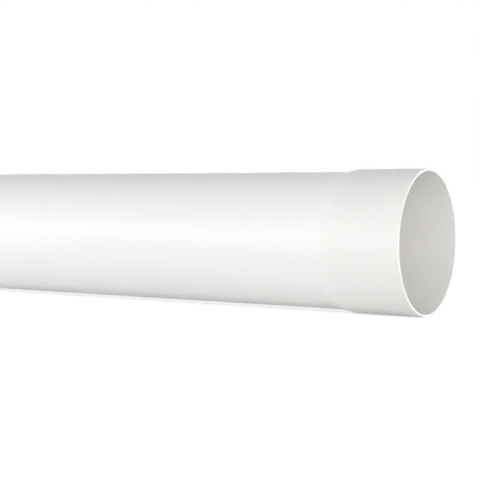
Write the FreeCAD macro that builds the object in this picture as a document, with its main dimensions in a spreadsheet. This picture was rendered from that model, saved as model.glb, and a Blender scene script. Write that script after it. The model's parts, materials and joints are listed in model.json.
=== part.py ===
import FreeCAD, Part
import math
import os
import Sketcher

# A rainwater downpipe: an extruded tube whose one end is blown out into a socket.
# It lies along X with its axis on the X axis. The socket's mouth is at X = 0 and opens
# towards +X. The plain end, which goes into the next pipe's socket, is the -X end.

# Driving dimensions in millimetres, and in degrees for the angle
SIZES = {
    "overall_length": 2000.0,  # from the plain end to the socket's mouth
    "barrel_diameter": 80.0,  # outside
    "barrel_wall": 1.5,
    "socket_depth": 41.0,  # straight stretch of the socket behind its mouth
    "socket_clearance": 0.2,  # gap all round a barrel that is pushed in
    "socket_wall": 1.4,  # thinner than the barrel's, because it is stretched
    "flare_angle": 11.5,  # slope of the cone between barrel and socket
    "flare_bend": 8.0,  # outside radius of the two bends of the flare
    "edge_break": 0.3,  # deburred corners of both cut ends
}

NODE = "downpipe"
FULL_TURN = 360.0
QUARTER_TURN = math.pi / 2
SAME_PLACE = 1e-6

# How a sketch counts the points of a line or an arc, and its own origin
START, END, CENTRE = range(1, 4)
SKETCH_ORIGIN = (-1, START)


def make_sheet(doc):
    sheet = doc.addObject("Spreadsheet::Sheet", "sizes")
    for row, (name, value) in enumerate(SIZES.items(), start=1):
        sheet.set(f"A{row}", name)
        sheet.set(f"B{row}", str(value))
        sheet.setAlias(f"B{row}", name)
    doc.recompute()
    return sheet


def point(along, radius):
    """A point of the wall's section: X along the pipe, Y out from the axis."""
    return FreeCAD.Vector(along, radius, 0)


def bend(centre, radius, first_angle, last_angle):
    circle = Part.Circle(centre, FreeCAD.Vector(0, 0, 1), radius)
    return Part.ArcOfCircle(circle, first_angle, last_angle)


def bend_centres(sheet):
    """Centres of the flare's two bends. Both sides of the wall bend about the same centres."""
    barrel_radius = sheet.barrel_diameter / 2
    socket_radius = barrel_radius + sheet.socket_clearance + sheet.socket_wall
    slope = math.radians(sheet.flare_angle)
    # The cone takes up what the two bends leave of the rise from barrel to socket.
    bends_rise = 2 * sheet.flare_bend * (1 - math.cos(slope))
    bends_run = 2 * sheet.flare_bend * math.sin(slope)
    cone_run = (socket_radius - barrel_radius - bends_rise) / math.tan(slope)
    neck_centre = point(-sheet.socket_depth - cone_run - bends_run, barrel_radius + sheet.flare_bend)
    shoulder_centre = point(-sheet.socket_depth, socket_radius - sheet.flare_bend)
    return neck_centre, shoulder_centre


def wall_side(sheet, barrel_radius, socket_radius):
    """One side of the wall from the plain end to the mouth: barrel, neck, cone, shoulder, socket."""
    neck_centre, shoulder_centre = bend_centres(sheet)
    neck_bend = neck_centre.y - barrel_radius
    shoulder_bend = socket_radius - shoulder_centre.y
    # The cone is the line that passes under the neck's circle and over the shoulder's.
    run = shoulder_centre.x - neck_centre.x
    drop = neck_centre.y - shoulder_centre.y
    slope = math.asin((neck_bend + shoulder_bend) / math.hypot(run, drop)) - math.atan2(drop, run)
    outward = FreeCAD.Vector(-math.sin(slope), math.cos(slope), 0)
    cone_start = neck_centre - outward * neck_bend
    cone_end = shoulder_centre + outward * shoulder_bend
    return [
        Part.LineSegment(point(-sheet.overall_length, barrel_radius), point(neck_centre.x, barrel_radius)),
        bend(neck_centre, neck_bend, -QUARTER_TURN, slope - QUARTER_TURN),
        Part.LineSegment(cone_start, cone_end),
        bend(shoulder_centre, shoulder_bend, QUARTER_TURN, slope + QUARTER_TURN),
        Part.LineSegment(point(shoulder_centre.x, socket_radius), point(0, socket_radius)),
    ]


def draw_wall_section(sketch, sheet):
    """The closed outline of the wall, every size of it tied to the sheet."""
    barrel_radius = sheet.barrel_diameter / 2
    bore_radius = barrel_radius - sheet.barrel_wall
    mouth_radius = barrel_radius + sheet.socket_clearance
    socket_radius = mouth_radius + sheet.socket_wall
    outside = sketch.addGeometry(wall_side(sheet, barrel_radius, socket_radius))
    inside = sketch.addGeometry(wall_side(sheet, bore_radius, mouth_radius))
    mouth_face = sketch.addGeometry(Part.LineSegment(point(0, mouth_radius), point(0, socket_radius)))
    plain_end = -sheet.overall_length
    plain_face = sketch.addGeometry(
        Part.LineSegment(point(plain_end, bore_radius), point(plain_end, barrel_radius))
    )

    def rule(kind, *items):
        return sketch.addConstraint(Sketcher.Constraint(kind, *items))

    def size(name, kind, *items, formula=None):
        sketch.renameConstraint(rule(kind, *items), name)
        sketch.setExpression(f"Constraints.{name}", formula or f"sizes.{name}")

    for side, face_point in ((inside, START), (outside, END)):
        barrel, neck, cone, shoulder, socket = side
        rule("Horizontal", barrel)
        rule("Horizontal", socket)
        rule("Tangent", barrel, END, neck, START)
        rule("Tangent", neck, END, cone, START)
        rule("Tangent", cone, END, shoulder, END)
        rule("Tangent", shoulder, START, socket, START)
        rule("Coincident", socket, END, mouth_face, face_point)
        rule("Coincident", barrel, START, plain_face, face_point)
    rule("Vertical", *SKETCH_ORIGIN, mouth_face, START)
    rule("Vertical", mouth_face)
    rule("Vertical", plain_face)

    barrel, neck, cone, shoulder, socket = outside
    _, inner_neck, _, inner_shoulder, _ = inside
    rule("Coincident", inner_neck, CENTRE, neck, CENTRE)
    rule("Coincident", inner_shoulder, CENTRE, shoulder, CENTRE)
    rule("Equal", neck, shoulder)

    size("overall_length", "DistanceX", barrel, START, *SKETCH_ORIGIN, sheet.overall_length)
    size("socket_depth", "DistanceX", socket, START, *SKETCH_ORIGIN, sheet.socket_depth)
    size("barrel_wall", "DistanceY", plain_face, START, plain_face, END, sheet.barrel_wall)
    size("socket_wall", "DistanceY", mouth_face, START, mouth_face, END, sheet.socket_wall)
    size("flare_bend", "Radius", neck, sheet.flare_bend)
    size("flare_angle", "Angle", barrel, START, cone, START, math.radians(sheet.flare_angle))
    half_barrel = "sizes.barrel_diameter / 2"
    half_mouth = f"{half_barrel} + sizes.socket_clearance"
    size("barrel_radius", "DistanceY", *SKETCH_ORIGIN, barrel, START, barrel_radius, formula=half_barrel)
    size("mouth_radius", "DistanceY", *SKETCH_ORIGIN, mouth_face, START, mouth_radius, formula=half_mouth)


def make_downpipe(doc, sheet):
    body = doc.addObject("PartDesign::Body", NODE)
    body.Label = NODE

    section = body.newObject("Sketcher::SketchObject", "wall_section")
    plane = next(item for item in body.Origin.OriginFeatures if item.Role == "XY_Plane")
    section.AttachmentSupport = [(plane, "")]
    section.MapMode = "FlatFace"
    draw_wall_section(section, sheet)
    doc.recompute()
    if not section.FullyConstrained:
        raise RuntimeError("the wall's section can still move")

    tube = body.newObject("PartDesign::Revolution", "blown_tube")
    tube.Profile = section
    tube.ReferenceAxis = (section, ["H_Axis"])
    tube.Angle = FULL_TURN
    section.Visibility = False
    doc.recompute()

    # The four round edges of the two cut ends
    end_edges = []
    for number, edge in enumerate(tube.Shape.Edges, start=1):
        box = edge.BoundBox
        at_an_end = any(abs(box.Center.x - end) < SAME_PLACE for end in (0, -sheet.overall_length))
        if at_an_end and box.XLength < SAME_PLACE:
            end_edges.append(f"Edge{number}")
    deburred = body.newObject("PartDesign::Chamfer", "deburred_ends")
    deburred.Base = (tube, end_edges)
    deburred.setExpression("Size", "sizes.edge_break")
    doc.recompute()
    return body


def check_objects(doc):
    for item in doc.Objects:
        if "Invalid" in item.State or "Error" in item.State:
            raise RuntimeError(f"{item.Label} did not build")
        shape = getattr(item, "Shape", None)
        if item.isDerivedFrom("Part::Feature") and (shape.isNull() or not shape.isValid()):
            raise RuntimeError(f"{item.Label} has no valid shape")


doc = FreeCAD.newDocument("rainwater_downpipe")
downpipe = make_downpipe(doc, make_sheet(doc))
check_objects(doc)

os.makedirs("parts", exist_ok=True)
downpipe.Shape.exportStep(f"parts/{NODE}.step")
box = downpipe.Shape.optimalBoundingBox(False)
print(NODE, "solids", len(downpipe.Shape.Solids), "cubic millimetres", round(downpipe.Shape.Volume))
print("length", round(box.XLength, 3), "width", round(box.YLength, 3), "height", round(box.ZLength, 3))
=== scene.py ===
import json
import math
import bmesh
import bpy
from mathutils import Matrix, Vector


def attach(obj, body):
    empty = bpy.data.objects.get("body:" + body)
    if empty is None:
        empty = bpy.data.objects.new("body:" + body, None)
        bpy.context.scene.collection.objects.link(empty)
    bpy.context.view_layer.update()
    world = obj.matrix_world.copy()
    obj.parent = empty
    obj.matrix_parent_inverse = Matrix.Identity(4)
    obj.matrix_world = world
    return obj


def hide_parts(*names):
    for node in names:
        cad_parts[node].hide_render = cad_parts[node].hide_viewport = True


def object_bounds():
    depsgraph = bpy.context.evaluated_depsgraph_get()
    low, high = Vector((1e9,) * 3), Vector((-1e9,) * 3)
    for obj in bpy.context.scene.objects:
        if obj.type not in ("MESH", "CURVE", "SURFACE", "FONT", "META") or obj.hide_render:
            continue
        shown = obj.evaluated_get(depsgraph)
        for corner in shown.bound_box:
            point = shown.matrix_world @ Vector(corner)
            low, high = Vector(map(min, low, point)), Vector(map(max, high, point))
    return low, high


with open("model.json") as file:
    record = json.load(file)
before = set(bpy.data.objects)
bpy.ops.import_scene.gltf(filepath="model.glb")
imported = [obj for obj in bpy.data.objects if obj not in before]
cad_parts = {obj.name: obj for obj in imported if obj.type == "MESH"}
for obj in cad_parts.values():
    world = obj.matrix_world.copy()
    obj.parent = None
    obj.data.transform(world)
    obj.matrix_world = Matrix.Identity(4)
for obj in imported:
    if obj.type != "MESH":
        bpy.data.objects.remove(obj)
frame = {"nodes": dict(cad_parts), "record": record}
cadLow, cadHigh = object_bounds()
print("frame loaded:", ", ".join(sorted(frame["nodes"])))

millimetre = 0.001
plainWhite = (1.0, 1.0, 1.0, 1.0)
noiseLow, noiseHigh = 0.3, 0.7  # most of a noise pattern lies between these
mountSizes = {mount["name"]: mount["dims"] for mount in frame["record"]["mounts"]}


def addNode(tree, kind, values=None, links=None, **settings):
    node = tree.nodes.new(kind)
    for name, value in settings.items():
        setattr(node, name, value)
    for socket, value in (values or {}).items():
        node.inputs[socket].default_value = value
    for socket, source in (links or {}).items():
        tree.links.new(source, node.inputs[socket])
    return node


def stretchedNoise(tree, place, stretch, detail=2.0):
    # noise on Object coordinates: a small stretch along X draws it out along the pipe
    mapped = addNode(tree, "ShaderNodeMapping", {"Scale": stretch}, {"Vector": place})
    noise = addNode(
        tree,
        "ShaderNodeTexNoise",
        {"Scale": 1.0, "Detail": detail},
        {"Vector": mapped.outputs["Vector"]},
    )
    return noise.outputs["Fac"]


def mapRange(tree, source, fromLow, fromHigh, toLow, toHigh):
    node = addNode(
        tree,
        "ShaderNodeMapRange",
        {"From Min": fromLow, "From Max": fromHigh, "To Min": toLow, "To Max": toHigh},
        {"Value": source},
    )
    return node.outputs["Result"]


def spreadNoise(tree, noise, low=0.0, high=1.0):
    return mapRange(tree, noise, noiseLow, noiseHigh, low, high)


def bumpOver(tree, height, distance, below=None):
    links = {"Height": height}
    if below is not None:
        links["Normal"] = below
    node = addNode(tree, "ShaderNodeBump", {"Strength": 1.0, "Distance": distance}, links)
    return node.outputs["Normal"]


def mixColour(tree, share, first, second, blend="MIX"):
    node = addNode(tree, "ShaderNodeMix", data_type="RGBA", blend_type=blend)
    tree.links.new(share, node.inputs["Factor"])
    for socket, colour in (("A", first), ("B", second)):
        if isinstance(colour, tuple):
            node.inputs[socket].default_value = colour
        else:
            tree.links.new(colour, node.inputs[socket])
    return node.outputs["Result"]


def newMaterial(name):
    material = bpy.data.materials.new(name)
    material.use_nodes = True
    tree = material.node_tree
    tree.nodes.clear()
    shader = addNode(tree, "ShaderNodeBsdfPrincipled")
    output = addNode(tree, "ShaderNodeOutputMaterial")
    tree.links.new(shader.outputs["BSDF"], output.inputs["Surface"])
    place = addNode(tree, "ShaderNodeTexCoord").outputs["Object"]
    return material, tree, shader, place


pvcSkin = {
    "colourLow": (0.866, 0.858, 0.843, 1.0),
    "colourHigh": (0.898, 0.890, 0.876, 1.0),
    "colourStretch": (2.5, 22.0, 22.0),
    "roughLow": 0.38,
    "roughHigh": 0.48,
    "roughStretch": (4.0, 60.0, 60.0),
    "refraction": 1.53,
    "gloss": 0.36,  # 0.5 is the full shine that this refraction gives
    "glowShare": 1.0,  # a thin white wall lets some light through, a little warmer
    "glowSpread": (1.0, 0.96, 0.91),
    "glowDepth": 0.0018,
    "paintedSocketShade": (0.965, 0.965, 0.965, 1.0),  # painted shade: the socket and its flare are drawn a shade greyer, standing in for the light that falls off towards the mouth
    "paintedShadeFrom": -0.0505,  # along the pipe, where that painted shade begins and where it is full
    "paintedShadeFull": -0.0410,
    "drawLineStretch": (0.8, 420.0, 420.0),  # lines left by the die, along the pipe
    "drawLineHeight": 0.000012,
    "peelStretch": (260.0, 260.0, 260.0),  # faint orange peel
    "peelHeight": 0.000010,
    "rippleStretch": (150.0, 7.0, 7.0),  # rings left where the end was heated and blown out
    "rippleHeight": 0.000030,
    "rippleFrom": -0.075,
    "rippleFull": -0.045,
}


def makePvcSkin():
    look = pvcSkin
    material, tree, shader, place = newMaterial("whitePvcSkin")
    shader.inputs["IOR"].default_value = look["refraction"]
    shader.inputs["Specular IOR Level"].default_value = look["gloss"]
    shader.inputs["Subsurface Weight"].default_value = look["glowShare"]
    shader.inputs["Subsurface Radius"].default_value = look["glowSpread"]
    shader.inputs["Subsurface Scale"].default_value = look["glowDepth"]
    along = addNode(tree, "ShaderNodeSeparateXYZ", links={"Vector": place}).outputs["X"]

    tone = stretchedNoise(tree, place, look["colourStretch"], detail=3.0)
    colour = mixColour(tree, spreadNoise(tree, tone), look["colourLow"], look["colourHigh"])
    # painted shade: the socket and flare are multiplied a shade greyer, standing in for less light reaching
    # them
    paintedShadeMask = mapRange(tree, along, look["paintedShadeFrom"], look["paintedShadeFull"], 0.0, 1.0)
    shadedColour = mixColour(tree, paintedShadeMask, colour, look["paintedSocketShade"], "MULTIPLY")
    tree.links.new(shadedColour, shader.inputs["Base Color"])

    cloud = stretchedNoise(tree, place, look["roughStretch"], detail=4.0)
    rough = spreadNoise(tree, cloud, look["roughLow"], look["roughHigh"])
    tree.links.new(rough, shader.inputs["Roughness"])

    heated = mapRange(tree, along, look["rippleFrom"], look["rippleFull"], 0.0, 1.0)
    rings = stretchedNoise(tree, place, look["rippleStretch"], detail=1.0)
    ripple = addNode(tree, "ShaderNodeMath", links={0: rings, 1: heated}, operation="MULTIPLY")

    lines = stretchedNoise(tree, place, look["drawLineStretch"], detail=3.0)
    peel = stretchedNoise(tree, place, look["peelStretch"])
    normal = bumpOver(tree, lines, look["drawLineHeight"])
    normal = bumpOver(tree, peel, look["peelHeight"], normal)
    normal = bumpOver(tree, ripple.outputs["Value"], look["rippleHeight"], normal)
    tree.links.new(normal, shader.inputs["Normal"])
    return material


sawnEnd = {
    "colourLow": (0.895, 0.893, 0.885, 1.0),
    "colourHigh": (0.925, 0.923, 0.917, 1.0),
    "colourStretch": (50.0, 900.0, 900.0),
    "roughLow": 0.50,
    "roughHigh": 0.66,
    "refraction": 1.53,
    "sawStretch": (1.0, 60.0, 2600.0),  # fine saw lines straight across the end
    "sawHeight": 0.000020,
}


def makeSawnEnd():
    look = sawnEnd
    material, tree, shader, place = newMaterial("sawnPvcEnd")
    shader.inputs["IOR"].default_value = look["refraction"]

    grain = stretchedNoise(tree, place, look["colourStretch"], detail=3.0)
    colour = mixColour(tree, spreadNoise(tree, grain), look["colourLow"], look["colourHigh"])
    tree.links.new(colour, shader.inputs["Base Color"])

    saw = stretchedNoise(tree, place, look["sawStretch"], detail=3.0)
    rough = spreadNoise(tree, saw, look["roughLow"], look["roughHigh"])
    tree.links.new(rough, shader.inputs["Roughness"])
    tree.links.new(bumpOver(tree, saw, look["sawHeight"]), shader.inputs["Normal"])
    return material


downpipe = {
    "boreRadius": mountSizes["waterway"]["r_mm"] * millimetre,
    "barrelRadius": mountSizes["spigot"]["r_mm"] * millimetre,
    "mouthRadius": mountSizes["socket"]["r_mm"] * millimetre,
    "socketRadius": max(cadHigh.y, cadHigh.z),
    "plainEnd": cadLow.x,
    "mouth": cadHigh.x,
    "socketDepth": 41.0 * millimetre,  # straight stretch behind the mouth
    "flareSlope": math.radians(11.5),
    "flareBend": 8.0 * millimetre,  # outside radius of both bends of the flare
    "edgeRound": 0.3 * millimetre,  # deburred corners of the cut ends
    "bendSteps": 8,
    "edgeSteps": 3,
    "roundSteps": 288,
    "lengthCuts": 24,
    "mergeReach": 0.01 * millimetre,
    "endFacing": 0.5,  # a face that looks further along the pipe than this is sawn
}


def roundCorner(bm, corner, radius, steps):
    arms = [edge.other_vert(corner).co - corner.co for edge in corner.link_edges]
    turn = math.pi - arms[0].angle(arms[1])
    bmesh.ops.bevel(
        bm,
        geom=[corner],
        offset=radius * math.tan(turn / 2),
        offset_type="OFFSET",
        affect="VERTICES",
        segments=steps,
        profile=0.5,
        material=-1,
        clamp_overlap=False,
    )


def makeDownpipe(skin, end):
    size = downpipe
    barrelWall = size["barrelRadius"] - size["boreRadius"]
    socketWall = size["socketRadius"] - size["mouthRadius"]
    coneLength = (size["socketRadius"] - size["barrelRadius"]) / math.tan(size["flareSlope"])
    halfTurn = math.tan(size["flareSlope"] / 2)  # sideways step of a corner per unit of offset
    shoulder = size["mouth"] - size["socketDepth"] - size["flareBend"] * halfTurn
    neck = shoulder - coneLength

    bm = bmesh.new()

    def corner(along, radius):
        return bm.verts.new((along, 0.0, radius))

    # the wall's section, round it once: outside from the plain end to the mouth, then back inside
    ends = [corner(size["plainEnd"], size["boreRadius"]), corner(size["plainEnd"], size["barrelRadius"])]
    bends = [
        (corner(neck, size["barrelRadius"]), size["flareBend"]),
        (corner(shoulder, size["socketRadius"]), size["flareBend"]),
    ]
    ends += [corner(size["mouth"], size["socketRadius"]), corner(size["mouth"], size["mouthRadius"])]
    bends += [
        (corner(shoulder + socketWall * halfTurn, size["mouthRadius"]), size["flareBend"] - socketWall),
        (corner(neck + barrelWall * halfTurn, size["boreRadius"]), size["flareBend"] + barrelWall),
    ]
    bm.verts.ensure_lookup_table()
    outline = bm.verts[:]
    for start, finish in zip(outline, outline[1:] + outline[:1]):
        bm.edges.new((start, finish))
    for vert, radius in bends:
        roundCorner(bm, vert, radius, size["bendSteps"])
    for vert in ends:
        roundCorner(bm, vert, size["edgeRound"], size["edgeSteps"])
    longEdges = [edge for edge in bm.edges if edge.calc_length() > size["socketRadius"]]
    bmesh.ops.subdivide_edges(bm, edges=longEdges, cuts=size["lengthCuts"])

    bmesh.ops.spin(
        bm,
        geom=bm.verts[:] + bm.edges[:],
        cent=(0.0, 0.0, 0.0),
        axis=(1.0, 0.0, 0.0),
        dvec=(0.0, 0.0, 0.0),
        angle=math.tau,
        steps=size["roundSteps"],
        use_merge=True,
        use_duplicate=False,
    )
    bmesh.ops.remove_doubles(bm, verts=bm.verts[:], dist=size["mergeReach"])
    bmesh.ops.recalc_face_normals(bm, faces=bm.faces[:])
    bm.verts.index_update()
    pointCount = len(bm.verts)

    def faceRank(face):
        numbers = [vert.index for vert in face.verts]
        return max(numbers) * pointCount + min(numbers)

    bm.faces.sort(key=faceRank)  # spin leaves its faces in another order at each run
    for face in bm.faces:
        face.smooth = True
        face.material_index = 1 if abs(face.normal.x) > size["endFacing"] else 0

    mesh = bpy.data.meshes.new("downpipeWall")
    bm.to_mesh(mesh)
    bm.free()
    mesh.materials.append(skin)
    mesh.materials.append(end)
    piece = bpy.data.objects.new("downpipeWall", mesh)
    bpy.context.scene.collection.objects.link(piece)
    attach(piece, "root")
    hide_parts("downpipe")
    print("downpipe made:", len(mesh.vertices), "points")


makeDownpipe(makePvcSkin(), makeSawnEnd())


studioFloor = {
    "level": -downpipe["socketRadius"],
    "size": 40.0,
    "colour": (0.88, 0.88, 0.88, 1.0),
    "whiteNear": 0.46,  # plain white added for the camera, so that of the floor only the shadow shows
    "whiteFar": 0.68,  # more of it further out, where less lamplight reaches the floor
    "litCentre": (-1.0, 0.0, 0.0),  # the patch of floor that the lamps light, and how far it reaches
    "litReach": (2.4, 0.95, 1.0),
}


def whiteForCamera(tree):
    # 1 for what the camera sees, straight, mirrored or through glass, and 0 for light falling on the pipe
    path = addNode(tree, "ShaderNodeLightPath")
    seen = path.outputs["Is Camera Ray"]
    for ray in ("Is Glossy Ray", "Is Transmission Ray"):
        either = addNode(tree, "ShaderNodeMath", links={0: seen, 1: path.outputs[ray]}, operation="MAXIMUM")
        seen = either.outputs["Value"]
    return seen


def makeFloor():
    look = studioFloor
    bm = bmesh.new()
    bmesh.ops.create_grid(bm, x_segments=1, y_segments=1, size=look["size"] / 2)
    bmesh.ops.translate(bm, verts=bm.verts[:], vec=(0.0, 0.0, look["level"]))
    mesh = bpy.data.meshes.new("studioFloor")
    bm.to_mesh(mesh)
    bm.free()

    material = bpy.data.materials.new("paleFloor")
    material.use_nodes = True
    tree = material.node_tree
    tree.nodes.clear()
    paper = addNode(tree, "ShaderNodeBsdfDiffuse", {"Color": look["colour"]})
    place = addNode(tree, "ShaderNodeTexCoord").outputs["Object"]
    patch = addNode(
        tree,
        "ShaderNodeMapping",
        {"Location": look["litCentre"], "Scale": look["litReach"]},
        {"Vector": place},
        vector_type="TEXTURE",
    )
    lit = addNode(
        tree,
        "ShaderNodeTexGradient",
        links={"Vector": patch.outputs["Vector"]},
        gradient_type="SPHERICAL",
    )
    strength = mapRange(tree, lit.outputs["Fac"], 0.0, 1.0, look["whiteFar"], look["whiteNear"])
    white = addNode(tree, "ShaderNodeEmission", {"Color": plainWhite}, {"Strength": strength})
    glow = addNode(
        tree,
        "ShaderNodeAddShader",
        links={0: paper.outputs["BSDF"], 1: white.outputs["Emission"]},
    )
    either = addNode(
        tree,
        "ShaderNodeMixShader",
        links={0: whiteForCamera(tree), 1: paper.outputs["BSDF"], 2: glow.outputs["Shader"]},
    )
    output = addNode(tree, "ShaderNodeOutputMaterial")
    tree.links.new(either.outputs["Shader"], output.inputs["Surface"])
    mesh.materials.append(material)
    floor = bpy.data.objects.new("studioFloor", mesh)
    bpy.context.scene.collection.objects.link(floor)
    print("floor laid at", round(look["level"], 4))


makeFloor()


studioWorld = {
    "ambientColour": plainWhite,
    "ambientStrength": 0.375,
    "backdropColour": plainWhite,
    "backdropStrength": 1.0,
}


def makeWorld():
    look = studioWorld
    world = bpy.data.worlds.new("studioWorld")
    bpy.context.scene.world = world
    world.use_nodes = True
    tree = world.node_tree
    tree.nodes.clear()
    ambient = addNode(
        tree,
        "ShaderNodeBackground",
        {"Color": look["ambientColour"], "Strength": look["ambientStrength"]},
    )
    backdrop = addNode(
        tree,
        "ShaderNodeBackground",
        {"Color": look["backdropColour"], "Strength": look["backdropStrength"]},
    )
    either = addNode(
        tree,
        "ShaderNodeMixShader",
        links={
            0: whiteForCamera(tree),
            1: ambient.outputs["Background"],
            2: backdrop.outputs["Background"],
        },
    )
    output = addNode(tree, "ShaderNodeOutputWorld")
    tree.links.new(either.outputs["Shader"], output.inputs["Surface"])
    print("world lit")


makeWorld()


# soft panels that stand on the floor: place, point aimed at, width and height in metres, power in watts
studioLamps = {
    "keyPanel": {
        "at": (-0.65, -0.85, 0.155),
        "to": (-0.55, 0.0, 0.0),
        "width": 1.0,
        "height": 0.39,
        "power": 2.75,
    },
    "longStrip": {
        "at": (-0.85, -1.25, 0.165),
        "to": (-0.85, 0.0, 0.0),
        "width": 3.0,
        "height": 0.41,
        "power": 4.85,
    },
    "sidePanel": {
        "at": (1.30, -1.60, 0.33),
        "to": (0.0, 0.0, 0.0),
        "width": 1.0,
        "height": 0.74,
        "power": 12.8,
    },
    "mouthPanel": {
        "at": (0.80, 0.25, 0.02),
        "to": (0.0, 0.0, 0.0),
        "width": 0.35,
        "height": 0.12,
        "power": 3.0,
    },
    "tailPanel": {
        "at": (-2.50, -0.80, 0.21),
        "to": (-1.75, 0.0, 0.0),
        "width": 0.9,
        "height": 0.49,
        "power": 4.4,
    },
    "rearStrip": {
        "at": (-1.0, 0.90, 0.14),
        "to": (-1.0, 0.0, 0.0),
        "width": 2.3,
        "height": 0.36,
        "power": 7.6,
    },
}


def makeLamps():
    for name, look in studioLamps.items():
        data = bpy.data.lights.new(name, "AREA")
        data.shape = "RECTANGLE"
        data.size = look["width"]
        data.size_y = look["height"]
        data.energy = look["power"]
        lamp = bpy.data.objects.new(name, data)
        lamp.location = look["at"]
        aim = Vector(look["to"]) - Vector(look["at"])
        lamp.rotation_euler = aim.to_track_quat("-Z", "Y").to_euler()
        lamp.visible_camera = False
        bpy.context.scene.collection.objects.link(lamp)
    print("lamps set up:", ", ".join(studioLamps))


makeLamps()


photoView = {
    "eye": (0.25496, -0.61005, 0.03129),
    "turn": math.radians(31.884),  # to the left of straight across the pipe
    "tilt": math.radians(2.606),  # below level
    "lens": 87.641,
    "sensor": 36.0,
    "nearest": 0.01,
    "furthest": 100.0,
}


def makeCamera():
    look = photoView
    data = bpy.data.cameras.new("photoView")
    data.sensor_fit = "HORIZONTAL"
    data.sensor_width = look["sensor"]
    data.lens = look["lens"]
    data.clip_start = look["nearest"]
    data.clip_end = look["furthest"]
    camera = bpy.data.objects.new("photoView", data)
    camera.location = look["eye"]
    camera.rotation_euler = (math.pi / 2 - look["tilt"], 0.0, look["turn"])
    bpy.context.scene.collection.objects.link(camera)
    bpy.context.scene.camera = camera
    print("camera set")


makeCamera()
bpy.context.scene.view_settings.view_transform = "Standard"

bpy.context.view_layer.update()
